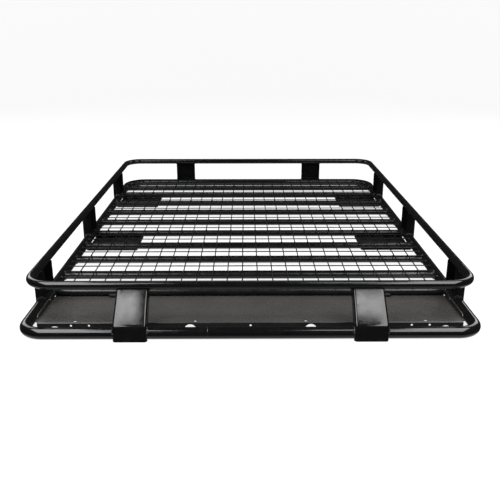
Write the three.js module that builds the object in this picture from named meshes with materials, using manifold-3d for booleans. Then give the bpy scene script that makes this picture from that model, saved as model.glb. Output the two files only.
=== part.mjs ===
// Roof cargo basket: a welded steel frame with a wire floor, two tube rails and a
// folded front deflector, for the roof of a four-wheel drive.
// Millimetres, +Z up, +X to the right, the front edge towards -Y. The origin lies on
// the plane that the frame stands on, under its middle.

import * as THREE from 'three';
import { mergeVertices } from 'three/addons/utils/BufferGeometryUtils.js';
import Module from 'manifold-3d';

const wasm = await Module();
wasm.setup();

// ---- Driving dimensions ----

const GAP = 0.3;               // left between pieces that touch or are coped to each other
const PAST = 1;                // how far a cutter runs past what it cuts

const LOWER_RADIUS = 16.85;    // lower rail: 33.7 mm tube
const LOWER_HALF_X = 642;      // its side runs' axes
const LOWER_HALF_Y = 910;      // its front and rear runs' axes
const LOWER_FRONT_BEND = 60;
const LOWER_REAR_BEND = 90;
const RAIL_Z = 18;             // its axis, above the uprights' bottom edges

const UPPER_RADIUS = 12.7;     // upper rail: 25.4 mm tube
const UPPER_HALF_X = 642.5;
const UPPER_FRONT_Y = -836;
const UPPER_REAR_Y = 914;
const UPPER_Z = RAIL_Z + 114;
const UPPER_BEND = 73;
const UPPER_SEAM_X = 340;      // butt weld on the front run
const LOWER_SEAM_X = -120;     // the same, on the lower rail

const TUBE_SIDES = 16;
const BEND_STEPS = 7;          // facets in a quarter bend

const SHEET = 3.2;             // upright channels
const CHANNEL_WIDTH = 95;
const CHANNEL_DEPTH = 34;
const CHANNEL_EDGE = 8;        // outer radius between web and flange
const WEB_STANDOFF = 4.6;      // web's outer face, outside the lower rail's outer side
const CREASE_Z = 45;           // front uprights are vertical below this and lean back above it
const FRONT_TOP_WIDTH = 90;    // and are a little narrower at the top
const COPE_HEIGHT = 9;         // vertical uprights end this far below the upper rail's axis
const TOE_DEPTH = 12;          // flange left below the lower rail
const TOE_HEIGHT = 8;
const END_UPRIGHT_X = 335;     // front and rear uprights' centres, each side of the middle
const SIDE_UPRIGHTS = { front: -650, middle: -15, rear: 618 };

const CROSSBAR_RADIUS = 12.7;
const CROSSBAR_SIDES = 14;
const FIRST_CROSSBAR_Y = -612;
const CROSSBAR_BAYS = [144, 157, 157, 157, 157, 157, 157, 154, 148];

const MESH_PITCH = 100;        // every second wire of the 50 mm mesh
const WIRE = 4;
const MESH_DEPTH = 7.4;        // two layers of wire, pressed together at the crossings
const WIRE_INSET = 11.5;       // wire ends stop this far inside the lower rail's axis
const MESH_EDGE_X = 575;       // outermost lengthwise wires
const MESH_FRONT_Y = -626;
const FIRST_WIRE_Y = -619;
const LAST_WIRE_Y = 881;

const PLATE = { inner: 434, outer: 628, thickness: 4, overlap: 9 };
const PLATE_BAYS = { front: 3, rear: 7 };    // crossbar before each pair of plates

const PANEL = {
  sheet: 2,
  halfX: LOWER_HALF_X - LOWER_RADIUS - 1.5 * GAP,
  rearY: -604,
  foldY: -838,
  rearZ: RAIL_Z - 13.7,
  foldZ: RAIL_Z - 2.3,
  flangeZ: RAIL_Z - 17.4,
  foldRadius: 4,
  frontHalfX: 618,             // the fold's length, short of the rail's bends
  cornerClip: 9,
  sideFrontY: -810,
  sideRearY: -632,
  sideZ: RAIL_Z + 8,
  sideClip: 6,                 // slant at each end of a side flange
};
const DRILL = { length: 14, sides: 12 };
const ARCH = { radius: 18, sides: 28, high: 10, low: 4.5 };     // heights of their tops
const ARCH_PLACES = [[-567, ARCH.low], [-175, ARCH.high], [175, ARCH.high], [567, ARCH.low]];
const PANEL_HOLE = { radius: 5, y: -826, places: [-510, -161, 161, 510] };
const FLANGE_HOLE = { radius: 4, z: RAIL_Z - 12, places: [-520, -468, 0, 468, 520] };

const BRACKET = { inner: 368, outer: 448, sheet: 3, frontY: -634, topZ: RAIL_Z - 1 };
const SCREW = {
  y: -687,
  z: RAIL_Z + 2.5,
  headRadius: 6.5,
  headHeight: 3.4,
  shankRadius: 3,
  sides: 14,
};
const SCREW_DOME = [[1, 0], [0.9, 0.55], [0.55, 0.9], [0, 1]];   // of head radius and height

// ---- Solids: closed meshes in and out of the boolean library ----

function toSolid(geometry) {
  const bare = geometry.clone();
  bare.deleteAttribute('normal');
  bare.deleteAttribute('uv');
  const merged = mergeVertices(bare, 1e-4);
  const mesh = new wasm.Mesh({
    numProp: 3,
    vertProperties: new Float32Array(merged.attributes.position.array),
    triVerts: new Uint32Array(merged.index.array),
  });
  return new wasm.Manifold(mesh);
}

function toGeometry(solid) {
  const mesh = solid.getMesh();
  const geometry = new THREE.BufferGeometry();
  geometry.setAttribute('position', new THREE.BufferAttribute(mesh.vertProperties, 3));
  geometry.setIndex(new THREE.BufferAttribute(mesh.triVerts, 1));
  geometry.computeVertexNormals();
  return geometry;
}

function box(x0, x1, y0, y1, z0, z1) {
  const geometry = new THREE.BoxGeometry(x1 - x0, y1 - y0, z1 - z0);
  return geometry.translate((x0 + x1) / 2, (y0 + y1) / 2, (z0 + z1) / 2);
}

// ---- Materials: black powder coat on every piece ----

function powderCoat(color, roughness) {
  return new THREE.MeshStandardMaterial({ color, roughness, metalness: 0.1 });
}

const COATS = {
  rail: powderCoat(0x151517, 0.3),
  upright: powderCoat(0x1b1b1e, 0.34),
  crossbar: powderCoat(0x161618, 0.36),
  mesh: powderCoat(0x121213, 0.42),
  plate: powderCoat(0x19191b, 0.45),
  panel: powderCoat(0x222123, 0.28),
  screw: powderCoat(0x2a2a2c, 0.3),
};

const basket = new THREE.Group();

function addPiece(name, geometry, material) {
  const mesh = new THREE.Mesh(geometry, material);
  mesh.name = name;
  basket.add(mesh);
  return mesh;
}

// ---- Rails ----

// A level loop of straight runs and quarter bends, open at a seam on its front run.
// Its stations are the ends of the straight runs and the facets of the bends.
class RailLoop extends THREE.Curve {
  constructor({ halfX, frontY, rearY, z, frontBend, rearBend, seamX, seamGap }) {
    super();
    this.stations = [];
    const corners = [
      { x: halfX, y: frontY, inX: -1, inY: 1, bend: frontBend, from: -Math.PI / 2 },
      { x: halfX, y: rearY, inX: -1, inY: -1, bend: rearBend, from: 0 },
      { x: -halfX, y: rearY, inX: 1, inY: -1, bend: rearBend, from: Math.PI / 2 },
      { x: -halfX, y: frontY, inX: 1, inY: 1, bend: frontBend, from: Math.PI },
    ];
    this.addStation(seamX + seamGap / 2, frontY, z, 1, 0);
    for (const { x, y, inX, inY, bend, from } of corners) {
      for (let step = 0; step <= BEND_STEPS; step++) {
        const angle = from + (step / BEND_STEPS) * Math.PI / 2;
        const px = x + inX * bend + bend * Math.cos(angle);
        const py = y + inY * bend + bend * Math.sin(angle);
        this.addStation(px, py, z, -Math.sin(angle), Math.cos(angle));
      }
    }
    this.addStation(seamX - seamGap / 2, frontY, z, 1, 0);
  }

  addStation(x, y, z, tx, ty) {
    const point = new THREE.Vector3(x, y, z);
    const tangent = new THREE.Vector3(tx, ty, 0);
    this.stations.push({ point, tangent });
  }

  get steps() {
    return this.stations.length - 1;
  }

  getPointAt(u) {
    return this.stations[Math.round(u * this.steps)].point.clone();
  }

  getTangentAt(u) {
    return this.stations[Math.round(u * this.steps)].tangent.clone();
  }
}

function ringShape(radius, sides) {
  const points = [];
  for (let side = 0; side < sides; side++) {
    const angle = ((side + 0.5) / sides) * 2 * Math.PI;
    points.push(new THREE.Vector2(radius * Math.cos(angle), radius * Math.sin(angle)));
  }
  return new THREE.Shape(points);
}

function railGeometry(loop, radius) {
  const path = new RailLoop(loop);
  const section = ringShape(radius, TUBE_SIDES);
  return new THREE.ExtrudeGeometry(section, { steps: path.steps, extrudePath: path });
}

// The space that other pieces leave around a rail: its own facets, moved out by the gap.
function railClearance(loop, radius) {
  const clear = (radius + GAP) / Math.cos(Math.PI / TUBE_SIDES);
  return toSolid(railGeometry({ ...loop, seamX: 0, seamGap: GAP / 10 }, clear));
}

const lowerLoop = {
  halfX: LOWER_HALF_X,
  frontY: -LOWER_HALF_Y,
  rearY: LOWER_HALF_Y,
  z: RAIL_Z,
  frontBend: LOWER_FRONT_BEND,
  rearBend: LOWER_REAR_BEND,
  seamX: LOWER_SEAM_X,
  seamGap: GAP,
};
const upperLoop = {
  halfX: UPPER_HALF_X,
  frontY: UPPER_FRONT_Y,
  rearY: UPPER_REAR_Y,
  z: UPPER_Z,
  frontBend: UPPER_BEND,
  rearBend: UPPER_BEND,
  seamX: UPPER_SEAM_X,
  seamGap: GAP,
};

addPiece('lower_rail', railGeometry(lowerLoop, LOWER_RADIUS), COATS.rail);
addPiece('upper_rail', railGeometry(upperLoop, UPPER_RADIUS), COATS.rail);

const lowerClearance = railClearance(lowerLoop, LOWER_RADIUS);
const upperClearance = railClearance(upperLoop, UPPER_RADIUS);

// ---- Uprights ----

// Channel section: the web's outer face on y = 0, the flanges towards +y.
function channelShape() {
  const half = CHANNEL_WIDTH / 2;
  const edge = half - CHANNEL_EDGE;
  const inside = CHANNEL_EDGE - SHEET;
  const shape = new THREE.Shape();
  shape.moveTo(-half, CHANNEL_DEPTH);
  shape.lineTo(-half, CHANNEL_EDGE);
  shape.absarc(-edge, CHANNEL_EDGE, CHANNEL_EDGE, Math.PI, 1.5 * Math.PI, false);
  shape.lineTo(edge, 0);
  shape.absarc(edge, CHANNEL_EDGE, CHANNEL_EDGE, 1.5 * Math.PI, 2 * Math.PI, false);
  shape.lineTo(half, CHANNEL_DEPTH);
  shape.lineTo(half - SHEET, CHANNEL_DEPTH);
  shape.lineTo(half - SHEET, CHANNEL_EDGE);
  shape.absarc(edge, CHANNEL_EDGE, inside, 0, -Math.PI / 2, true);
  shape.lineTo(-edge, SHEET);
  shape.absarc(-edge, CHANNEL_EDGE, inside, -Math.PI / 2, -Math.PI, true);
  shape.lineTo(SHEET - half, CHANNEL_DEPTH);
  return shape;
}

// Sweeps the channel through rows of cuts. A row's origin is the web's outer face there,
// its depth vector runs along the flanges, and its width is the channel's.
function sweepChannel(rows) {
  const steps = rows.length - 1;
  const settings = { depth: steps, steps, curveSegments: 3, bevelEnabled: false };
  const geometry = new THREE.ExtrudeGeometry(channelShape(), settings);
  const place = geometry.attributes.position;
  for (let i = 0; i < place.count; i++) {
    const row = rows[Math.round(place.getZ(i))];
    const widen = (Math.sign(place.getX(i)) * (row.width - CHANNEL_WIDTH)) / 2;
    const depth = place.getY(i);
    const y = row.y + depth * row.depthY;
    const z = row.z + depth * row.depthZ;
    place.setXYZ(i, place.getX(i) + widen, y, z);
  }
  return geometry;
}

// The upright's own frame: +y points into the basket, y = 0 is the web's outer face.
const RAIL_DEPTH = WEB_STANDOFF + LOWER_RADIUS;

function straightChannel() {
  const row = { y: 0, depthY: 1, depthZ: 0, width: CHANNEL_WIDTH };
  return sweepChannel([{ ...row, z: 0 }, { ...row, z: UPPER_Z - COPE_HEIGHT }]);
}

function leaningChannel() {
  const rise = UPPER_Z - CREASE_Z;
  const run = RAIL_DEPTH + UPPER_FRONT_Y + LOWER_HALF_Y;
  const lean = Math.atan2(run, rise);
  const mitre = -Math.tan(lean / 2);
  const width = CHANNEL_WIDTH;
  const top = { y: run, z: UPPER_Z, depthY: Math.cos(lean), depthZ: -Math.sin(lean) };
  return sweepChannel([
    { y: 0, z: 0, depthY: 1, depthZ: 0, width },
    { y: 0, z: CREASE_Z, depthY: 1, depthZ: mitre, width },
    { ...top, width: FRONT_TOP_WIDTH },
  ]);
}

// Turns a channel to face outwards, moves it to its place and copes it to both rails.
function addUpright(name, channel, turn, x, y) {
  const half = CHANNEL_WIDTH / 2 + PAST;
  const toe = toSolid(box(-half, half, TOE_DEPTH, CHANNEL_DEPTH + PAST, -PAST, TOE_HEIGHT));
  const trimmed = toGeometry(toSolid(channel).subtract(toe));
  trimmed.rotateZ(turn).translate(x, y, 0);
  const coped = toSolid(trimmed).subtract(lowerClearance).subtract(upperClearance);
  addPiece(name, toGeometry(coped), COATS.upright);
}

const webY = LOWER_HALF_Y + LOWER_RADIUS + WEB_STANDOFF;
const webX = LOWER_HALF_X + LOWER_RADIUS + WEB_STANDOFF;

for (const [side, sign] of [['left', -1], ['right', 1]]) {
  addUpright(`upright_front_${side}`, leaningChannel(), 0, sign * END_UPRIGHT_X, -webY);
  addUpright(`upright_rear_${side}`, straightChannel(), Math.PI, sign * END_UPRIGHT_X, webY);
  for (const [place, y] of Object.entries(SIDE_UPRIGHTS)) {
    const turn = sign * Math.PI / 2;
    addUpright(`upright_${side}_${place}`, straightChannel(), turn, sign * webX, y);
  }
}

// ---- Crossbars ----

const crossbarYs = [FIRST_CROSSBAR_Y];
for (const bay of CROSSBAR_BAYS) {
  crossbarYs.push(crossbarYs.at(-1) + bay);
}

// Ends inside the side rails, so that the cope takes the whole of each end.
const crossbarLength = 2 * (LOWER_HALF_X - LOWER_RADIUS / 2);

crossbarYs.forEach((y, index) => {
  const tube = new THREE.CylinderGeometry(
    CROSSBAR_RADIUS, CROSSBAR_RADIUS, crossbarLength, CROSSBAR_SIDES);
  tube.rotateZ(Math.PI / 2).translate(0, y, RAIL_Z);
  const coped = toSolid(tube).subtract(lowerClearance);
  addPiece(`crossbar_${index + 1}`, toGeometry(coped), COATS.crossbar);
});

// ---- Wire floor ----

const meshZ = RAIL_Z + CROSSBAR_RADIUS + GAP;

function spread(first, last, pitch) {
  const places = [];
  for (let place = first; place < last - pitch / 4; place += pitch) {
    places.push(place);
  }
  places.push(last);
  return places;
}

const rightWires = spread(MESH_PITCH / 4, MESH_EDGE_X, MESH_PITCH);
const wireXs = [...rightWires.map((x) => -x).reverse(), ...rightWires];
const wireYs = spread(FIRST_WIRE_Y, LAST_WIRE_Y, MESH_PITCH);

// A flat sheet with every opening between the wires cut out of it. The outer openings run
// off its edges, which leaves the wires' free ends standing up to the lower rail.
function floorSolid() {
  const endX = LOWER_HALF_X - WIRE_INSET;
  const endY = LOWER_HALF_Y - WIRE_INSET;
  const past = 10;
  const half = WIRE / 2;
  const columns = [-endX - past, ...wireXs, endX + past];
  const rows = [MESH_FRONT_Y - past, ...wireYs, endY + past];
  const topZ = meshZ + MESH_DEPTH;
  let sheet = toSolid(box(-endX, endX, MESH_FRONT_Y, endY, meshZ, topZ));
  for (let column = 1; column < columns.length; column++) {
    const x0 = columns[column - 1] + half;
    const x1 = columns[column] - half;
    for (let row = 1; row < rows.length; row++) {
      const y0 = rows[row - 1] + half;
      const y1 = rows[row] - half;
      sheet = sheet.subtract(toSolid(box(x0, x1, y0, y1, meshZ - PAST, topZ + PAST)));
    }
  }
  return sheet.subtract(lowerClearance);
}

addPiece('floor_mesh', toGeometry(floorSolid()), COATS.mesh);

// ---- Mounting plates, under a pair of crossbars ----

const plateTop = RAIL_Z - CROSSBAR_RADIUS - GAP;

for (const [place, bar] of Object.entries(PLATE_BAYS)) {
  const y0 = crossbarYs[bar] - PLATE.overlap;
  const y1 = crossbarYs[bar + 1] + PLATE.overlap;
  const z0 = plateTop - PLATE.thickness;
  const right = box(PLATE.inner, PLATE.outer, y0, y1, z0, plateTop);
  const left = box(-PLATE.outer, -PLATE.inner, y0, y1, z0, plateTop);
  addPiece(`mount_plate_right_${place}`, right, COATS.plate);
  addPiece(`mount_plate_left_${place}`, left, COATS.plate);
}

// ---- Front deflector ----

// Extrudes a side view drawn in (y, z) along x.
function alongX(sideView, x0, x1) {
  const settings = { depth: x1 - x0, curveSegments: 3, bevelEnabled: false };
  const geometry = new THREE.ExtrudeGeometry(sideView, settings);
  const turn = new THREE.Matrix4().makeBasis(
    new THREE.Vector3(0, 1, 0), new THREE.Vector3(0, 0, 1), new THREE.Vector3(1, 0, 0));
  return geometry.applyMatrix4(turn).translate(x0, 0, 0);
}

const panelSlope = (PANEL.foldZ - PANEL.rearZ) / (PANEL.foldY - PANEL.rearY);

function panelTopZ(y) {
  return PANEL.rearZ + panelSlope * (y - PANEL.rearY);
}

function panelSideView() {
  const { sheet, rearY, foldY, flangeZ, foldRadius } = PANEL;
  const inner = foldY + sheet;
  const shape = new THREE.Shape();
  shape.moveTo(rearY, panelTopZ(rearY));
  shape.lineTo(foldY + foldRadius, panelTopZ(foldY + foldRadius));
  shape.quadraticCurveTo(foldY, panelTopZ(foldY), foldY, panelTopZ(foldY) - foldRadius);
  shape.lineTo(foldY, flangeZ);
  shape.lineTo(inner, flangeZ);
  shape.lineTo(inner, panelTopZ(inner) - foldRadius);
  shape.quadraticCurveTo(
    inner, panelTopZ(inner) - sheet, foldY + foldRadius, panelTopZ(foldY + foldRadius) - sheet);
  shape.lineTo(rearY, panelTopZ(rearY) - sheet);
  return shape;
}

// A side flange: a strip turned up along the rail, from just inside the sheet.
function sideFlangeView() {
  const { sideFrontY, sideRearY, sideZ, sideClip, sheet } = PANEL;
  const shape = new THREE.Shape();
  shape.moveTo(sideFrontY, panelTopZ(sideFrontY) - sheet / 2);
  shape.lineTo(sideRearY, panelTopZ(sideRearY) - sheet / 2);
  shape.lineTo(sideRearY, sideZ - sideClip);
  shape.lineTo(sideRearY - sideClip, sideZ);
  shape.lineTo(sideFrontY + sideClip, sideZ);
  shape.lineTo(sideFrontY, sideZ - sideClip);
  return shape;
}

// Clips a front corner of the sheet on a slant, clear of the rail's bend.
function cornerCut(sign) {
  const { halfX, frontHalfX, foldY, foldRadius, cornerClip } = PANEL;
  const past = 5;
  const height = 40;
  const outline = new THREE.Shape();
  outline.moveTo(frontHalfX, foldY - past);
  outline.lineTo(halfX + past, foldY - past);
  outline.lineTo(halfX + past, foldY + cornerClip + past);
  outline.lineTo(halfX, foldY + cornerClip);
  outline.lineTo(frontHalfX, foldY + 1.5 * foldRadius);
  const cutter = new THREE.ExtrudeGeometry(outline, { depth: height, bevelEnabled: false });
  if (sign < 0) {
    cutter.rotateY(Math.PI);
    cutter.translate(0, 0, height);
  }
  return cutter;
}

// A round cutter, along y unless it is turned.
function drill(radius, sides = DRILL.sides) {
  return new THREE.CylinderGeometry(radius, radius, DRILL.length, sides);
}

function deflectorSolid() {
  const { halfX, sheet, foldY } = PANEL;
  let solid = toSolid(alongX(panelSideView(), -halfX, halfX));
  solid = solid.add(toSolid(alongX(sideFlangeView(), -halfX, -halfX + sheet)));
  solid = solid.add(toSolid(alongX(sideFlangeView(), halfX - sheet, halfX)));
  const cuts = [cornerCut(-1), cornerCut(1)];
  for (const [x, top] of ARCH_PLACES) {
    const arch = drill(ARCH.radius, ARCH.sides);
    cuts.push(arch.translate(x, foldY, top - ARCH.radius));
  }
  for (const x of FLANGE_HOLE.places) {
    cuts.push(drill(FLANGE_HOLE.radius).translate(x, foldY, FLANGE_HOLE.z));
  }
  for (const x of PANEL_HOLE.places) {
    const hole = drill(PANEL_HOLE.radius).rotateX(Math.PI / 2);
    cuts.push(hole.translate(x, PANEL_HOLE.y, panelTopZ(PANEL_HOLE.y)));
  }
  for (const sign of [-1, 1]) {
    const hole = drill(SCREW.shankRadius + GAP).rotateZ(Math.PI / 2);
    cuts.push(hole.translate(sign * halfX, SCREW.y, SCREW.z));
  }
  return cuts.map(toSolid).reduce((left, cut) => left.subtract(cut), solid);
}

addPiece('deflector_panel', toGeometry(deflectorSolid()), COATS.panel);

// Brackets: angles that stand on the panel and are welded to the first crossbar.
function bracketSideView() {
  const { sheet, frontY, topZ } = BRACKET;
  const footZ = panelTopZ(frontY) + GAP;
  const shape = new THREE.Shape();
  shape.moveTo(frontY, footZ);
  shape.lineTo(frontY + sheet, footZ);
  shape.lineTo(frontY + sheet, topZ - sheet);
  shape.lineTo(FIRST_CROSSBAR_Y, topZ - sheet);
  shape.lineTo(FIRST_CROSSBAR_Y, topZ);
  shape.lineTo(frontY, topZ);
  return shape;
}

const barClear = (CROSSBAR_RADIUS + GAP) / Math.cos(Math.PI / CROSSBAR_SIDES);
const barSpace = new THREE.CylinderGeometry(barClear, barClear, crossbarLength, CROSSBAR_SIDES);
barSpace.rotateZ(Math.PI / 2).translate(0, FIRST_CROSSBAR_Y, RAIL_Z);
const barClearance = toSolid(barSpace);

// Screws: a domed head inside the side flange and a shank up to the rail.
function screwGeometry() {
  const { headRadius, headHeight, shankRadius, sides } = SCREW;
  const shankLength = PANEL.sheet + GAP;
  const profile = [
    new THREE.Vector2(0, 0),
    new THREE.Vector2(shankRadius, 0),
    new THREE.Vector2(shankRadius, shankLength),
  ];
  for (const [out, up] of SCREW_DOME) {
    profile.push(new THREE.Vector2(headRadius * out, shankLength + headHeight * up));
  }
  return new THREE.LatheGeometry(profile, sides);
}

for (const [side, sign] of [['left', -1], ['right', 1]]) {
  const x0 = sign > 0 ? BRACKET.inner : -BRACKET.outer;
  const x1 = sign > 0 ? BRACKET.outer : -BRACKET.inner;
  const bracket = toSolid(alongX(bracketSideView(), x0, x1)).subtract(barClearance);
  addPiece(`deflector_bracket_${side}`, toGeometry(bracket), COATS.plate);

  const screw = addPiece(`deflector_screw_${side}`, screwGeometry(), COATS.screw);
  screw.rotation.z = sign * Math.PI / 2;
  screw.position.set(sign * PANEL.halfX, SCREW.y, SCREW.z);
}

export default basket;
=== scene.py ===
"""Looks for the roof cargo basket: a welded, black powder-coated steel frame with a wire
floor, two tube rails, pressed channel uprights and a folded front deflector.

Shapes are drawn in millimetres and scaled to metres as they are made into pieces."""

import math
import random

import bmesh
import bpy
from mathutils import Matrix, Vector, noise


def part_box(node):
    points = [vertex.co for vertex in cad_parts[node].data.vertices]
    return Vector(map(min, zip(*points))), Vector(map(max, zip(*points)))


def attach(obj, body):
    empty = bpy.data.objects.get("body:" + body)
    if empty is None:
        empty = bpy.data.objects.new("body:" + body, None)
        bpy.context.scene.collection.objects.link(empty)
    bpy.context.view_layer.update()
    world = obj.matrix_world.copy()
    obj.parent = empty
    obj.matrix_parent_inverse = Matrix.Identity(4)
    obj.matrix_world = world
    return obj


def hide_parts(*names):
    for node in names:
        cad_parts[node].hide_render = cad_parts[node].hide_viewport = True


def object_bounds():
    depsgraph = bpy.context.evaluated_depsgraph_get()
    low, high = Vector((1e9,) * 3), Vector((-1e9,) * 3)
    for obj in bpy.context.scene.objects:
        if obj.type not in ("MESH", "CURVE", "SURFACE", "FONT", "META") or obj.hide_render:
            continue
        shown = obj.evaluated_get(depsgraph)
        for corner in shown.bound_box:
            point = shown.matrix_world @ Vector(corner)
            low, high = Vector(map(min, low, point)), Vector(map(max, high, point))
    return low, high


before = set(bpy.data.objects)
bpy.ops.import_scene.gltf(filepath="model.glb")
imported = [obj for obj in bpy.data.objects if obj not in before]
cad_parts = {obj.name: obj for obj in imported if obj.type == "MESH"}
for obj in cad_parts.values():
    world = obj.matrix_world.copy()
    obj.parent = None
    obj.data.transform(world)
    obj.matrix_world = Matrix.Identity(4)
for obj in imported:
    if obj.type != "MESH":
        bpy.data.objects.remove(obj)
cad_low, cad_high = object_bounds()

MM = 0.001

LOWER_RADIUS = 16.85
UPPER_RADIUS = 12.7
LOWER_FRONT_BEND = 60
LOWER_REAR_BEND = 90
UPPER_BEND = 73
UPPER_SEAM_X = 340
LOWER_SEAM_X = -120
RAIL_FACETS = 16               # of the CAD rails, whose boxes are a facet's height smaller

CHANNEL_WIDTH = 95
CHANNEL_DEPTH = 34
CHANNEL_SHEET = 3.2
CHANNEL_EDGE = 8
CREASE_Z = 45
CREASE_RADIUS = 22
WEB_BOW = 1.5                  # the front uprights' webs swell outwards between their bends
FRONT_TOP_WIDTH = 90
CREASE_STEPS = 12
WEB_STEPS = 8
COPE_HEIGHT = 9
COPE_FIT = 0.3                 # how far the rails sink into the channels' coped ends
TOE_DEPTH = 12
TOE_HEIGHT = 8

CROSSBAR_COUNT = 10
CROSSBAR_RADIUS = 12.7

WIRE_RADIUS = 2
WIRE_PITCH = 50
WIRE_LAYER = 3.4               # between the two layers' axes: the wires are pressed together
FIRST_WIRE_INSET = 7           # from the floor's front edge
LAST_WIRE_INSET = 9.5          # from its rear edge

PANEL_SHEET = 2
PANEL_FOLD_RADIUS = 4.5
PANEL_SLOPE = -0.0496          # rise towards the front
PANEL_FRONT_HALF_X = 618
PANEL_CORNER_CLIP = 9
ARCH_RADIUS = 18
ARCHES = ((-567, 4.5), (-175, 10), (175, 10), (567, 4.5))   # x and height of the top
PANEL_HOLES = (-510, -161, 161, 510)
PANEL_HOLE_RADIUS = 5
FLANGE_HOLES = (-520, -468, 0, 468, 520)
FLANGE_HOLE_RADIUS = 3.2
FLANGE_HOLE_DROP = 12          # below the lower rail's axis

BRACKET_SHEET = 3


def box_mm(node):
    low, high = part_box(node)
    return low / MM, high / MM


# ---- Mesh helpers ----


class Skin:
    """Gathers lofted shapes, and makes one mesh piece of them."""

    def __init__(self):
        self.verts = []
        self.faces = []

    def loft(self, rings, loop=False):
        start = len(self.verts)
        count = len(rings[0])
        for ring in rings:
            self.verts.extend(ring)
        spans = len(rings) if loop else len(rings) - 1
        for i in range(spans):
            a = start + i * count
            b = start + (i + 1) % len(rings) * count
            for j in range(count):
                k = (j + 1) % count
                self.faces.append((a + j, a + k, b + k, b + j))
        if not loop:
            last = start + (len(rings) - 1) * count
            self.faces.append(tuple(reversed(range(start, start + count))))
            self.faces.append(tuple(range(last, last + count)))

    def mesh(self, name, sharp=35):
        mesh = bpy.data.meshes.new(name)
        mesh.from_pydata([Vector(v) * MM for v in self.verts], [], self.faces)
        work = bmesh.new()
        work.from_mesh(mesh)
        bmesh.ops.recalc_face_normals(work, faces=work.faces)
        work.to_mesh(mesh)
        work.free()
        smooth(mesh, sharp)
        return mesh

    def object(self, name, sharp=35):
        made = bpy.data.objects.new(name, self.mesh(name, sharp))
        bpy.context.scene.collection.objects.link(made)
        return made


def smooth(mesh, sharp):
    for face in mesh.polygons:
        face.use_smooth = True
    mesh.set_sharp_from_angle(angle=math.radians(sharp))


def arc(centre_a, centre_b, radius, start, end, steps):
    """Points (a, b) of an arc; angles in degrees."""
    points = []
    for step in range(steps + 1):
        angle = math.radians(start + (end - start) * step / steps)
        points.append((centre_a + radius * math.cos(angle), centre_b + radius * math.sin(angle)))
    return points


def walk(points, step, loop=False):
    """The same path with evenly spaced points."""
    path = [Vector(p) for p in points]
    if loop:
        path.append(path[0])
    lengths = [(b - a).length for a, b in zip(path, path[1:])]
    total = sum(lengths)
    count = max(2, round(total / step))
    stops = [total * i / count for i in range(count if loop else count + 1)]
    walked = []
    index = 0
    passed = 0.0
    for stop in stops:
        while index < len(lengths) - 1 and passed + lengths[index] < stop:
            passed += lengths[index]
            index += 1
        share = min(1.0, (stop - passed) / max(lengths[index], 1e-9))
        walked.append(path[index].lerp(path[index + 1], share))
    return walked


def tube(skin, path, across, radius, sides, loop=False):
    """Lofts round sections along a path. across is a direction never along the path,
    radius is a number or a number for each point."""
    rings = []
    last = len(path) - 1
    for i, point in enumerate(path):
        before = path[i - 1] if i or loop else path[0]
        after = path[(i + 1) % len(path)] if i < last or loop else path[last]
        along = (Vector(after) - Vector(before)).normalized()
        side = along.cross(Vector(across)).normalized()
        lift = side.cross(along).normalized()
        size = radius[i] if isinstance(radius, list) else radius
        ring = []
        for k in range(sides):
            angle = 2 * math.pi * k / sides
            ring.append(Vector(point) + size * (math.cos(angle) * side + math.sin(angle) * lift))
        rings.append(ring)
    skin.loft(rings, loop)


def weld(skin, points, across, radius, seed, loop=False, ripple=2.6, rough=0.16):
    """A hand-laid weld bead: a fat line whose size swells and sinks with each puddle."""
    path = walk(points, 0.75, loop)
    count = len(path)
    chance = random.Random(seed)
    phase = chance.uniform(0, 6)
    sizes = []
    moved = []
    for i, point in enumerate(path):
        run = i * 0.75
        swell = math.sin(2 * math.pi * run / ripple + phase) + 0.5 * math.sin(1.1 * run + 2 * phase)
        wander = noise.noise_vector(point * 0.11 + Vector((seed * 3.7, 0, 0)))
        size = radius * (1 + rough * 0.6 * swell + rough * wander.x)
        if not loop:
            size *= min(1.0, 0.35 + 0.3 * min(i, count - 1 - i))
        sizes.append(size)
        moved.append(point + wander * radius * 0.22)
    tube(skin, moved, across, sizes, 8, loop)


def applied(made):
    """Bakes a piece's modifiers into its mesh."""
    graph = bpy.context.evaluated_depsgraph_get()
    mesh = bpy.data.meshes.new_from_object(made.evaluated_get(graph))
    made.modifiers.clear()
    made.data = mesh


def cut(made, cutters, sharp=35):
    """Takes the cutters out of a piece, and removes them."""
    for cutter in cutters:
        change = made.modifiers.new("cut", "BOOLEAN")
        change.operation = "DIFFERENCE"
        change.solver = "EXACT"
        change.object = cutter
    applied(made)
    for cutter in cutters:
        bpy.data.objects.remove(cutter)
    smooth(made.data, sharp)


def rod(start, end, across, radius, sides=48):
    """A round cutter."""
    skin = Skin()
    tube(skin, [Vector(start), Vector(end)], across, radius, sides)
    return skin.object("cutter")


def block(low, high):
    """A square cutter."""
    skin = Skin()
    rings = []
    for x in (low[0], high[0]):
        rings.append([(x, low[1], low[2]), (x, high[1], low[2]), (x, high[1], high[2]), (x, low[1], high[2])])
    skin.loft(rings)
    return skin.object("cutter")


# ---- Materials ----


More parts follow.
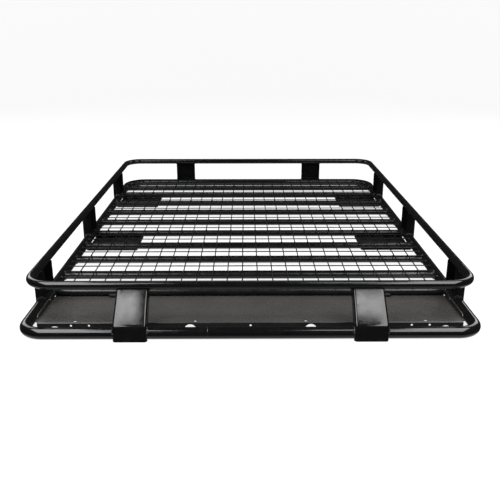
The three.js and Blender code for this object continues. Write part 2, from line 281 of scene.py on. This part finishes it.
def powder_coat(name, colour, tint, rough, shine=0.2, peel=1.0, dust_and_top_light=0.0):
    """Satin black powder coat: slow shifts of colour and gloss, orange peel, fine grit, and
    a lighter tone where a surface faces up, dust with painted light from above."""
    coat = bpy.data.materials.new(name)
    coat.use_nodes = True
    nodes = coat.node_tree.nodes
    link = coat.node_tree.links.new
    shader = nodes["Principled BSDF"]
    shader.inputs["Specular IOR Level"].default_value = shine
    shader.inputs["Metallic"].default_value = 0.0
    place = nodes.new("ShaderNodeTexCoord")

    def cloud(scale, detail, roughness):
        texture = nodes.new("ShaderNodeTexNoise")
        texture.inputs["Scale"].default_value = scale
        texture.inputs["Detail"].default_value = detail
        texture.inputs["Roughness"].default_value = roughness
        link(place.outputs["Object"], texture.inputs["Vector"])
        return texture.outputs["Fac"]

    def spread(value, low, high, to_low, to_high):
        scale = nodes.new("ShaderNodeMapRange")
        scale.inputs["From Min"].default_value = low
        scale.inputs["From Max"].default_value = high
        scale.inputs["To Min"].default_value = to_low
        scale.inputs["To Max"].default_value = to_high
        link(value, scale.inputs["Value"])
        return scale.outputs["Result"]

    def blend(share, first, second):
        mix = nodes.new("ShaderNodeMix")
        mix.data_type = "RGBA"
        link(share, mix.inputs["Factor"])
        for value, socket in ((first, mix.inputs[6]), (second, mix.inputs[7])):
            if isinstance(value, tuple):
                socket.default_value = (*value, 1.0)
            else:
                link(value, socket)
        return mix.outputs[2]

    slow = cloud(14.0, 3.0, 0.5)
    shift = blend(spread(slow, 0.35, 0.65, 0.0, 1.0), colour, tint)
    grit = cloud(900.0, 2.0, 0.6)
    specks = spread(grit, 0.66, 0.74, 0.0, 0.5)
    fleck = tuple(1.5 * c + 0.001 for c in tint)
    toned = blend(specks, shift, fleck)
    # Upward faces are blended lighter: dust with a painted highlight of light from above.
    if dust_and_top_light > 0:
        shape = nodes.new("ShaderNodeNewGeometry")
        split = nodes.new("ShaderNodeSeparateXYZ")
        link(shape.outputs["Normal"], split.inputs["Vector"])
        upward = spread(split.outputs["Z"], 0.55, 1.0, 0.0, dust_and_top_light)
        patch = nodes.new("ShaderNodeMath")
        patch.operation = "MULTIPLY"
        link(upward, patch.inputs[0])
        link(spread(cloud(9.0, 2.0, 0.5), 0.35, 0.7, 0.85, 1.0), patch.inputs[1])
        toned = blend(patch.outputs["Value"], toned, (0.05, 0.048, 0.045))
    link(toned, shader.inputs["Base Color"])

    gloss = cloud(46.0, 4.0, 0.55)
    link(spread(gloss, 0.3, 0.7, rough - 0.05, rough + 0.07), shader.inputs["Roughness"])

    wave = nodes.new("ShaderNodeBump")
    wave.inputs["Strength"].default_value = 0.05 * peel
    wave.inputs["Distance"].default_value = 0.0006
    link(cloud(210.0, 2.0, 0.5), wave.inputs["Height"])
    fine = nodes.new("ShaderNodeBump")
    fine.inputs["Strength"].default_value = 0.12 * peel
    fine.inputs["Distance"].default_value = 0.0001
    link(grit, fine.inputs["Height"])
    link(wave.outputs["Normal"], fine.inputs["Normal"])
    link(fine.outputs["Normal"], shader.inputs["Normal"])
    return coat


# Colour, tint, roughness and shine of each coat, then any orange peel, and dust with painted top light.
COAT_RECIPES = {
    "rail_coat": ((0.0015, 0.0015, 0.0017), (0.0026, 0.0025, 0.0026), 0.12, 0.22),
    "upright_coat": ((0.0015, 0.0015, 0.0017), (0.0026, 0.0025, 0.0026), 0.13, 0.22),
    "crossbar_coat": ((0.0028, 0.0028, 0.0031), (0.0050, 0.0048, 0.0048), 0.22, 0.18),
    "mesh_coat": ((0.0020, 0.0020, 0.0022), (0.0036, 0.0035, 0.0036), 0.30, 0.14),
    "plate_coat": ((0.0030, 0.0030, 0.0032), (0.0055, 0.0052, 0.0052), 0.32, 0.12),
    # The panel's upward faces are lightened strongly: painted light from above, with dust.
    "panel_coat": ((0.0040, 0.0037, 0.0038), (0.0048, 0.0045, 0.0046), 0.28, 0.2, 0.1, 0.52),
    "screw_finish": ((0.0100, 0.0100, 0.0110), (0.0180, 0.0176, 0.0176), 0.26, 0.4),
    "weld_coat": ((0.0030, 0.0030, 0.0034), (0.0060, 0.0058, 0.0058), 0.20, 0.25, 1.5),
}
COATS = {name: powder_coat(name, *recipe) for name, recipe in COAT_RECIPES.items()}


def finish_piece(made, slot, coat=None, nodes=()):
    made.data.materials.clear()
    made.data.materials.append(COATS[coat or slot])
    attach(made, "root")
    if nodes:
        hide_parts(*nodes)


# ---- Rails ----


def rail_run(node, radius):
    """The axis of a rail: half width, front, rear and height, from its CAD box."""
    low, high = box_mm(node)
    facet = radius * math.cos(math.pi / RAIL_FACETS)
    return high.x - facet, low.y + facet, high.y - facet, (low.z + high.z) / 2


lower_x, lower_front, lower_rear, rail_z = rail_run("lower_rail", LOWER_RADIUS)
upper_x, upper_front, upper_rear, upper_z = rail_run("upper_rail", UPPER_RADIUS)


def rail_path(half_x, front, rear, z, front_bend, rear_bend):
    corners = (
        (half_x - front_bend, front + front_bend, front_bend, -90),
        (half_x - rear_bend, rear - rear_bend, rear_bend, 0),
        (-half_x + rear_bend, rear - rear_bend, rear_bend, 90),
        (-half_x + front_bend, front + front_bend, front_bend, 180),
    )
    path = []
    for x, y, bend, start in corners:
        path.extend((px, py, z) for px, py in arc(x, y, bend, start, start + 90, 24))
    return path


def add_rail(name, run, radius, bends, seam_x):
    half_x, front, rear, z = run
    skin = Skin()
    tube(skin, rail_path(half_x, front, rear, z, *bends), (0, 0, 1), radius, 56, loop=True)
    rail = skin.object(name)
    finish_piece(rail, "rail_coat", nodes=[name])
    seam = Skin()
    ring = [(seam_x, front + a, z + b) for a, b in arc(0, 0, radius - 0.4, 0, 350, 35)]
    weld(seam, ring, (1, 0, 0), 0.9, 11 + int(radius), loop=True, ripple=3.1)
    finish_piece(seam.object(name + "_seam"), "rail_coat", "weld_coat")


add_rail("lower_rail", (lower_x, lower_front, lower_rear, rail_z), LOWER_RADIUS,
         (LOWER_FRONT_BEND, LOWER_REAR_BEND), LOWER_SEAM_X)
add_rail("upper_rail", (upper_x, upper_front, upper_rear, upper_z), UPPER_RADIUS,
         (UPPER_BEND, UPPER_BEND), UPPER_SEAM_X)


# ---- Uprights ----
# Drawn in their own frame: x across, y from the web's outer face into the basket.


def channel_ring(width):
    """The channel's section, as (x, depth) points round its skin."""
    half = width / 2
    edge = half - CHANNEL_EDGE
    inner = CHANNEL_EDGE - CHANNEL_SHEET
    tip = 0.9
    ring = [(-half + tip, CHANNEL_DEPTH), (-half, CHANNEL_DEPTH - tip)]
    ring += arc(-edge, CHANNEL_EDGE, CHANNEL_EDGE, 180, 270, 8)
    ring += arc(edge, CHANNEL_EDGE, CHANNEL_EDGE, 270, 360, 8)
    ring += [(half, CHANNEL_DEPTH - tip), (half - tip, CHANNEL_DEPTH)]
    ring += [(half - CHANNEL_SHEET + tip, CHANNEL_DEPTH), (half - CHANNEL_SHEET, CHANNEL_DEPTH - tip)]
    ring += arc(edge, CHANNEL_EDGE, inner, 360, 270, 8)
    ring += arc(-edge, CHANNEL_EDGE, inner, 270, 180, 8)
    ring += [(-half + CHANNEL_SHEET, CHANNEL_DEPTH - tip), (-half + CHANNEL_SHEET - tip, CHANNEL_DEPTH)]
    return ring


def channel(rows):
    """Lofts the channel through rows of (outer point, tip point, width)."""
    skin = Skin()
    rings = []
    for outer, tip, width in rows:
        ring = []
        for x, depth in channel_ring(width):
            share = depth / CHANNEL_DEPTH
            y = outer[0] + (tip[0] - outer[0]) * share
            z = outer[1] + (tip[1] - outer[1]) * share
            ring.append((x, y, z))
        rings.append(ring)
    skin.loft(rings)
    return skin.object("upright")


def straight_rows(top):
    return [((0, z), (CHANNEL_DEPTH, z), CHANNEL_WIDTH) for z in (0.0, top)]


def leaning_rows(axis_y, axis_z):
    """A vertical foot, a soft crease and a web that aims at the upper rail's axis."""
    lean = math.atan2(axis_y, axis_z - CREASE_Z)
    reach = CREASE_RADIUS * math.tan(lean / 2)
    mitre = (CHANNEL_DEPTH, CREASE_Z - CHANNEL_DEPTH * math.tan(lean / 2))
    rows = [((0, 0), (CHANNEL_DEPTH, 0), CHANNEL_WIDTH)]
    for step in range(CREASE_STEPS + 1):
        turn = lean * step / CREASE_STEPS
        y = CREASE_RADIUS * (1 - math.cos(turn))
        z = CREASE_Z - reach + CREASE_RADIUS * math.sin(turn)
        slide = (step / CREASE_STEPS - 0.5) * 0.8
        tip = (mitre[0] + slide * math.sin(lean) * 0.5, mitre[1] + slide)
        rows.append(((y, z), tip, CHANNEL_WIDTH))
    start, start_tip = rows[-1][:2]
    end_tip = (axis_y + CHANNEL_DEPTH * math.cos(lean), axis_z - CHANNEL_DEPTH * math.sin(lean))
    for step in range(1, WEB_STEPS + 1):
        share = step / WEB_STEPS
        bow = WEB_BOW * math.sin(math.pi * share)
        y = start[0] + (axis_y - start[0]) * share - bow * math.cos(lean)
        z = start[1] + (axis_z - start[1]) * share + bow * math.sin(lean)
        tip = tuple(a + (b - a) * share for a, b in zip(start_tip, end_tip))
        width = CHANNEL_WIDTH + (FRONT_TOP_WIDTH - CHANNEL_WIDTH) * share
        rows.append(((y, z), tip, width))
    return rows, lean


def cope(y, z, radius):
    return rod((-60, y, z), (60, y, z), (0, 0, 1), radius - COPE_FIT, 64)


def add_upright(node, turn, place, web_depth, upper_depth, seed):
    """web_depth and upper_depth are the rails' axes, inward from the web's outer face."""
    half = CHANNEL_WIDTH / 2
    leaning = upper_depth > CHANNEL_DEPTH
    if leaning:
        rows, lean = leaning_rows(upper_depth, upper_z)
    else:
        rows, lean = straight_rows(upper_z - COPE_HEIGHT), 0.0
    upright = channel(rows)
    cut(upright, [
        block((-60, TOE_DEPTH, -5), (60, CHANNEL_DEPTH + 5, TOE_HEIGHT)),
        cope(web_depth, rail_z, LOWER_RADIUS),
        cope(upper_depth, upper_z, UPPER_RADIUS),
    ])

    beads = Skin()
    for side in (-1, 1):
        x = side * (half + 0.3)
        foot = [(x, y, z) for y, z in arc(web_depth, rail_z, LOWER_RADIUS + 0.6, 172, 44, 24)]
        weld(beads, foot, (1, 0, 0), 2.5, seed + side)
    if leaning:
        out = math.degrees(math.atan2(-math.cos(lean), -math.sin(lean)))
        for side in (-1, 1):
            x = side * (FRONT_TOP_WIDTH / 2 + 0.2)
            curve = arc(upper_depth, upper_z, UPPER_RADIUS + 0.4, out + 12, out + 86, 12)
            head = [(x, y, z) for y, z in curve]
            weld(beads, head, (1, 0, 0), 2.0, seed + 4 + side)
        y = upper_depth - (UPPER_RADIUS + 0.6) * math.sin(lean)
        z = upper_z - (UPPER_RADIUS + 0.6) * math.cos(lean)
        weld(beads, [(-41, y, z), (41, y, z)], (0, 0, 1), 2.3, seed + 8)
    else:
        for side in (-1, 1):
            x = side * (half + 0.1)
            head = [(x, y, z) for y, z in arc(upper_depth, upper_z, UPPER_RADIUS + 0.3, 222, 316, 12)]
            weld(beads, head, (1, 0, 0), 2.3, seed + 4 + side)
        top = upper_z - COPE_HEIGHT
        weld(beads, [(-39, 5.4, top + 1.6), (39, 5.4, top + 1.6)], (0, 0, 1), 3.6, seed + 8, ripple=3.4)

    matrix = Matrix.Translation(Vector(place) * MM) @ Matrix.Rotation(turn, 4, "Z")
    upright.data.transform(matrix)
    upright.name = node
    upright.data.name = node
    finish_piece(upright, "upright_coat", nodes=[node])
    joint = beads.object(node + "_welds")
    joint.data.transform(matrix)
    finish_piece(joint, "upright_coat", "weld_coat")


def add_uprights():
    for side, sign in (("left", -1), ("right", 1)):
        node = "upright_front_" + side
        low, high = box_mm(node)
        x = (low.x + high.x) / 2
        add_upright(node, 0.0, (x, low.y, 0), lower_front - low.y, upper_front - low.y, 20 + sign * 3)

        node = "upright_rear_" + side
        low, high = box_mm(node)
        x = (low.x + high.x) / 2
        add_upright(node, math.pi, (x, high.y, 0), high.y - lower_rear, high.y - upper_rear, 40 + sign * 3)

        for index, place in enumerate(("front", "middle", "rear")):
            node = f"upright_{side}_{place}"
            low, high = box_mm(node)
            web = high.x if sign > 0 else low.x
            y = (low.y + high.y) / 2
            depths = (abs(web) - lower_x, abs(web) - upper_x)
            add_upright(node, sign * math.pi / 2, (web, y, 0), *depths, 60 + sign * 3 + 20 * index)


add_uprights()


# ---- Crossbars ----


def add_crossbar(node, seed):
    low, high = box_mm(node)
    y = (low.y + high.y) / 2
    z = (low.z + high.z) / 2
    sides = 44
    rings = []
    beads = Skin()
    for sign in (-1, 1):
        ring = []
        joint = []
        for k in range(sides):
            angle = 2 * math.pi * k / sides
            dy = math.cos(angle)
            dz = math.sin(angle)
            reach = lower_x - math.sqrt(LOWER_RADIUS ** 2 - (CROSSBAR_RADIUS * dz) ** 2)
            ring.append((sign * (reach + 0.2), y + CROSSBAR_RADIUS * dy, z + CROSSBAR_RADIUS * dz))
            size = CROSSBAR_RADIUS + 0.6
            joint.append((sign * (reach - 0.4), y + size * dy, z + size * dz))
        rings.append(ring)
        weld(beads, joint, (1, 0, 0), 2.4, seed + sign, loop=True, ripple=3.0, rough=0.2)
    bar = Skin()
    bar.loft(rings)
    finish_piece(bar.object(node), "crossbar_coat", nodes=[node])
    finish_piece(beads.object(node + "_welds"), "crossbar_coat", "weld_coat")
    return y


bar_ys = [add_crossbar(f"crossbar_{index + 1}", 120 + 5 * index) for index in range(CROSSBAR_COUNT)]


# ---- Wire floor ----


def wire(skin, start, end, seed):
    """A drawn wire with a slight wander, sideways and a little up and down."""
    path = walk([start, end], WIRE_PITCH / 2)
    moved = []
    for point in path:
        wander = noise.noise_vector(point * 0.006 + Vector((seed * 5.3, 1.7, 0)))
        shift = Vector((wander.x, wander.y, 0)) * 0.9
        moved.append(point + shift + Vector((0, 0, wander.z * 0.25)))
    tube(skin, moved, (0, 0, 1), WIRE_RADIUS, 10)


def add_floor():
    low, high = box_mm("floor_mesh")
    lower_layer = low.z + WIRE_RADIUS
    upper_layer = lower_layer + WIRE_LAYER
    first_y = low.y + FIRST_WIRE_INSET
    count = round((high.y - LAST_WIRE_INSET - first_y) / WIRE_PITCH)
    rows = [first_y + WIRE_PITCH * k for k in range(count + 1)]
    columns = [WIRE_PITCH * (k + 0.5) for k in range(-12, 12)]

    across = Skin()
    for index, y in enumerate(rows):
        reach = high.x
        if index == count:
            reach = columns[-1] + 4
        wire(across, (-reach, y, lower_layer), (reach, y, lower_layer), index)
    finish_piece(across.object("floor_wires_across"), "mesh_coat", nodes=["floor_mesh"])

    along = Skin()
    for index, x in enumerate(columns):
        wire(along, (x, low.y, upper_layer), (x, high.y, upper_layer), 50 + index)
    finish_piece(along.object("floor_wires_along"), "mesh_coat", nodes=["floor_mesh"])

    tacks = Skin()
    chance = random.Random(5)
    for y in rows[:-1]:
        for sign in (-1, 1):
            x = sign * (high.x - 1.5)
            size = chance.uniform(2.6, 3.6)
            blob(tacks, (x, y, lower_layer - 1.2), size, chance)
    for x in columns:
        size = chance.uniform(2.6, 3.6)
        blob(tacks, (x, high.y - 1.5, upper_layer - 3.2), size, chance)
    for bar_y in bar_ys:
        for x in columns[::2]:
            place = (x + chance.uniform(-1, 1), bar_y, lower_layer - 1.4)
            blob(tacks, place, chance.uniform(2.4, 3.2), chance)
    finish_piece(tacks.object("floor_tack_welds", 60), "mesh_coat", "weld_coat", nodes=["floor_mesh"])


def blob(skin, centre, size, chance):
    """A tack weld: an uneven flattened bead."""
    rings = []
    turn = chance.uniform(0, 3)
    for share, height in ((0.35, -0.75), (0.8, -0.45), (1.0, 0.0), (0.8, 0.45), (0.35, 0.75)):
        ring = []
        for k in range(10):
            angle = 2 * math.pi * k / 10
            reach = size * share * (1 + 0.14 * math.sin(2 * angle + turn) + 0.07 * math.sin(5 * angle))
            ring.append((centre[0] + reach * math.cos(angle), centre[1] + reach * math.sin(angle),
                         centre[2] + size * height))
        rings.append(ring)
    skin.loft(rings)


add_floor()


# ---- Mounting plates ----


def add_plate(node, seed):
    """A plate with eased edges and rounded corners, stitched to its crossbars."""
    low, high = box_mm(node)
    corner = 5
    ease = 0.7
    rings = []
    for inset, z in ((ease, low.z), (0, low.z + ease), (0, high.z - ease), (ease, high.z)):
        ring = []
        for cx, cy, start in (
            (high.x - corner, high.y - corner, 0),
            (low.x + corner, high.y - corner, 90),
            (low.x + corner, low.y + corner, 180),
            (high.x - corner, low.y + corner, 270),
        ):
            ring += [(x, y, z) for x, y in arc(cx, cy, corner - inset, start, start + 90, 6)]
        rings.append(ring)
    skin = Skin()
    skin.loft(rings)
    plate = skin.object(node)
    finish_piece(plate, "plate_coat", nodes=[node])
    beads = Skin()
    bars = [y for y in bar_ys if low.y < y < high.y]
    for index, y in enumerate(bars):
        inward = 1 if index == 0 else -1
        for k in range(3):
            start = low.x + 18 + k * 62
            line_y = y + inward * 5.4
            weld(beads, [(start, line_y, high.z + 1.2), (start + 34, line_y, high.z + 1.2)],
                 (0, 0, 1), 2.0, seed + 7 * index + k)
    finish_piece(beads.object(node + "_welds"), "plate_coat", "weld_coat")


for index, plate_node in enumerate(("mount_plate_left_front", "mount_plate_left_rear",
                                    "mount_plate_right_front", "mount_plate_right_rear")):
    add_plate(plate_node, 300 + 20 * index)


# ---- Front deflector ----


def add_deflector():
    low, high = box_mm("deflector_panel")
    fold_y = low.y
    rear_y = high.y
    rear_z = rail_z - 13.7

    def top_z(y):
        return rear_z + PANEL_SLOPE * (y - rear_y)

    fold = PANEL_FOLD_RADIUS
    fold_z = top_z(fold_y + fold)
    lean = math.degrees(math.atan(PANEL_SLOPE))
    outer = [(rear_y, top_z(rear_y))]
    outer += arc(fold_y + fold, fold_z - fold, fold, 90 + lean, 180, 8)
    outer.append((fold_y, low.z))
    thin = fold - PANEL_SHEET
    inner = [(fold_y + PANEL_SHEET, low.z)]
    inner += arc(fold_y + fold, fold_z - fold, thin, 180, 90 + lean, 8)
    inner.append((rear_y, top_z(rear_y) - PANEL_SHEET))
    skin = Skin()
    skin.loft([[(x, y, z) for y, z in outer + inner] for x in (low.x, high.x)])
    panel = skin.object("deflector_panel")

    cutters = []
    for x, top in ARCHES:
        z = top - ARCH_RADIUS
        cutters.append(rod((x, fold_y - 9, z), (x, fold_y + 9, z), (0, 0, 1), ARCH_RADIUS, 64))
    for x in FLANGE_HOLES:
        z = rail_z - FLANGE_HOLE_DROP
        cutters.append(rod((x, fold_y - 9, z), (x, fold_y + 3.5, z), (0, 0, 1), FLANGE_HOLE_RADIUS, 32))
    for x in PANEL_HOLES:
        y = fold_y + 12
        cutters.append(rod((x, y, 5), (x, y, 25), (0, 1, 0), PANEL_HOLE_RADIUS, 32))
    for sign in (-1, 1):
        clip = Skin()
        outline = (
            (PANEL_FRONT_HALF_X, fold_y - 6),
            (high.x + 6, fold_y - 6),
            (high.x + 6, fold_y + PANEL_CORNER_CLIP + 5),
            (high.x, fold_y + PANEL_CORNER_CLIP),
            (PANEL_FRONT_HALF_X, fold_y + 6),
        )
        clip.loft([[(sign * x, y, z) for x, y in outline] for z in (-10, 40)])
        cutters.append(clip.object("cutter"))
    cut(panel, cutters, 30)
    finish_piece(panel, "panel_coat", nodes=["deflector_panel"])

    for side, sign in (("left", -1), ("right", 1)):
        edge = high.x
        bend = 4.0
        flange = Skin()
        rings = []
        for y in (fold_y + 28, fold_y + 34, rear_y - 34, rear_y - 28):
            top = high.z if fold_y + 30 < y < rear_y - 30 else high.z - 6
            base = top_z(y)
            outer = [(edge - bend - 6, base - PANEL_SHEET + 0.1)]
            outer += arc(edge - bend, base - PANEL_SHEET + bend, bend, 270, 360, 6)
            outer.append((edge, top))
            inner = [(edge - PANEL_SHEET, top)]
            inner += arc(edge - bend, base - PANEL_SHEET + bend, bend - PANEL_SHEET, 360, 270, 6)
            inner.append((edge - bend - 6, base + 0.1))
            rings.append([(sign * x, y, z) for x, z in outer + inner])
        flange.loft(rings)
        finish_piece(flange.object("deflector_side_" + side, 30), "panel_coat")


add_deflector()


def add_bracket(node, seed):
    """An angle that stands on the panel and reaches back under the first crossbar."""
    low, high = box_mm(node)
    bend = 4.0
    thin = bend - BRACKET_SHEET + 0.4
    front = low.y
    foot = low.z
    top = high.z
    reach = bar_ys[0] - 9
    outer = [(front, foot)] + arc(front + bend, top - bend, bend, 180, 90, 6) + [(reach, top)]
    inner = [(reach, top - BRACKET_SHEET)]
    inner += arc(front + bend, top - bend, thin, 90, 180, 6)
    inner.append((front + BRACKET_SHEET, foot))
    skin = Skin()
    skin.loft([[(x, y, z) for y, z in outer + inner] for x in (low.x, high.x)])
    finish_piece(skin.object(node, 30), "plate_coat", nodes=[node])
    beads = Skin()
    for inset, y, z, size in ((6, reach - 1.5, top + 0.8, 2.4), (4, front + 1, foot + 0.8, 1.8)):
        weld(beads, [(low.x + inset, y, z), (high.x - inset, y, z)], (0, 0, 1), size, seed)
        seed += 1
    finish_piece(beads.object(node + "_welds"), "plate_coat", "weld_coat")


add_bracket("deflector_bracket_left", 400)
add_bracket("deflector_bracket_right", 410)


def add_screw(node):
    """A domed head with a hex socket and a washer, its axis across the basket."""
    low, high = box_mm(node)
    y = (low.y + high.y) / 2
    z = (low.z + high.z) / 2
    inward = -1 if high.x > 0 else 1
    outside = high.x if inward < 0 else low.x
    radius = (high.z - low.z) / 2
    height = high.x - low.x
    rings = []
    for share, size in (
        (0.02, 0.45), (0.60, 0.45), (0.62, 1.0), (0.74, 1.0), (0.78, 0.86), (0.90, 0.78), (0.97, 0.62),
        (1.0, 0.44),
    ):
        rings.append([(outside + inward * height * share, y + radius * size * math.cos(k * math.pi / 12),
                       z + radius * size * math.sin(k * math.pi / 12)) for k in range(24)])
    for share in (1.0, 0.8):
        ring = []
        for k in range(24):
            angle = k * math.pi / 12
            flat = 0.4 * math.cos(math.pi / 6) / math.cos((angle % (math.pi / 3)) - math.pi / 6)
            ring.append((outside + inward * height * share, y + radius * flat * math.cos(angle),
                         z + radius * flat * math.sin(angle)))
        rings.append(ring)
    skin = Skin()
    skin.loft(rings)
    finish_piece(skin.object(node, 30), "screw_finish", nodes=[node])


add_screw("deflector_screw_left")
add_screw("deflector_screw_right")


# ---- Studio ----


STAGE_FLAT = 5500              # the sweep's level floor, its cove and the top of its wall
STAGE_COVE = 1500
STAGE_WALL = 7000
PAPER_GREY = 0.10
PAPER_GLOW = 0.88


def add_stage():
    """A round white sweep: a glowing floor that curves up into a wall all round. It stays out
    of the reflections, so that only the softboxes gleam on the black coat."""
    stand = min(0.0, cad_low.z) / MM
    profile = [(600, stand), (2500, stand), (STAGE_FLAT, stand)]
    profile += arc(STAGE_FLAT, stand + STAGE_COVE, STAGE_COVE, 270, 360, 12)
    profile.append((STAGE_FLAT + STAGE_COVE, stand + STAGE_WALL))
    sides = 96
    verts = [(0, 0, stand)]
    faces = []
    for reach, z in profile:
        for k in range(sides):
            angle = 2 * math.pi * k / sides
            verts.append((reach * math.cos(angle), reach * math.sin(angle), z))
    for k in range(sides):
        after = (k + 1) % sides
        faces.append((0, 1 + k, 1 + after))
        for ring in range(len(profile) - 1):
            start = 1 + ring * sides
            faces.append((start + k, start + sides + k, start + sides + after, start + after))
    mesh = bpy.data.meshes.new("studio_sweep")
    mesh.from_pydata([Vector(v) * MM for v in verts], [], faces)
    smooth(mesh, 30)
    sweep = bpy.data.objects.new("studio_sweep", mesh)
    bpy.context.scene.collection.objects.link(sweep)
    paper = bpy.data.materials.new("studio_paper")
    paper.use_nodes = True
    shader = paper.node_tree.nodes["Principled BSDF"]
    shader.inputs["Base Color"].default_value = (PAPER_GREY, PAPER_GREY, PAPER_GREY, 1)
    shader.inputs["Roughness"].default_value = 0.9
    shader.inputs["Specular IOR Level"].default_value = 0.0
    shader.inputs["Emission Color"].default_value = (1, 1, 1, 1)
    shader.inputs["Emission Strength"].default_value = PAPER_GLOW
    mesh.materials.append(paper)
    sweep.visible_glossy = False


def add_light(name, place, target, width, height, power):
    data = bpy.data.lights.new(name, "AREA")
    data.shape = "RECTANGLE"
    data.size = width
    data.size_y = height
    data.energy = power
    light = bpy.data.objects.new(name, data)
    light.location = place
    light.visible_camera = False
    light.rotation_euler = (Vector(target) - Vector(place)).to_track_quat("-Z", "Y").to_euler()
    bpy.context.scene.collection.objects.link(light)


# Softboxes that hang level over the front: name, x and y reach in metres, and brightness.
SOFTBOX_HEIGHT = 2.2
SOFTBOXES = (
    ("left_inner", -1.00, -0.55, -1.88, -1.37, 19),
    ("left_outer", -2.20, -1.00, -3.70, -0.30, 16),
    ("right_inner", 0.39, 1.00, -1.82, -1.37, 18),
    ("right_outer", 1.00, 2.20, -3.70, -0.30, 14),
)


def add_studio():
    add_stage()
    for name, x0, x1, y0, y1, glow in SOFTBOXES:
        width = x1 - x0
        depth = y1 - y0
        place = ((x0 + x1) / 2, (y0 + y1) / 2, SOFTBOX_HEIGHT)
        add_light(name, place, (place[0], place[1], 0.0), width, depth, glow * math.pi * width * depth)
    add_light("rear_strip", (0.0, 1.55, 3.4), (0.0, -0.85, 0.1), 3.4, 0.5, 25)
    for name, sign in (("rear_left", -1), ("rear_right", 1)):
        add_light(name, (sign * 2.8, 2.4, 2.2), (sign * 0.4, -0.6, 0.0), 1.8, 2.2, 55)
    world = bpy.data.worlds.new("studio")
    world.use_nodes = True
    nodes = world.node_tree.nodes
    link = world.node_tree.links.new
    backdrop = nodes["Background"]
    backdrop.inputs["Color"].default_value = (0.95, 0.97, 1.0, 1)
    place = nodes.new("ShaderNodeTexCoord")
    split = nodes.new("ShaderNodeSeparateXYZ")
    fade = nodes.new("ShaderNodeMapRange")
    link(place.outputs["Generated"], split.inputs["Vector"])
    link(split.outputs["Z"], fade.inputs["Value"])
    fade.inputs["From Min"].default_value = -0.62
    fade.inputs["From Max"].default_value = -0.45
    fade.inputs["To Min"].default_value = 1.2
    fade.inputs["To Max"].default_value = 0.04
    link(fade.outputs["Result"], backdrop.inputs["Strength"])
    bpy.context.scene.world = world


CAMERA_LENS = 47.0
CAMERA_PLACE = (-0.0130, -2.5525, 0.8345)
CAMERA_TILT = 70.799
CAMERA_PAN = -0.376


def add_camera():
    data = bpy.data.cameras.new("camera")
    data.sensor_width = 36
    data.lens = CAMERA_LENS
    camera = bpy.data.objects.new("camera", data)
    camera.location = CAMERA_PLACE
    camera.rotation_euler = (math.radians(CAMERA_TILT), 0, math.radians(CAMERA_PAN))
    bpy.context.scene.collection.objects.link(camera)
    bpy.context.scene.camera = camera


add_studio()
add_camera()
bpy.context.scene.view_settings.view_transform = "Standard"
bpy.context.scene.view_settings.look = "None"

bpy.context.view_layer.update()
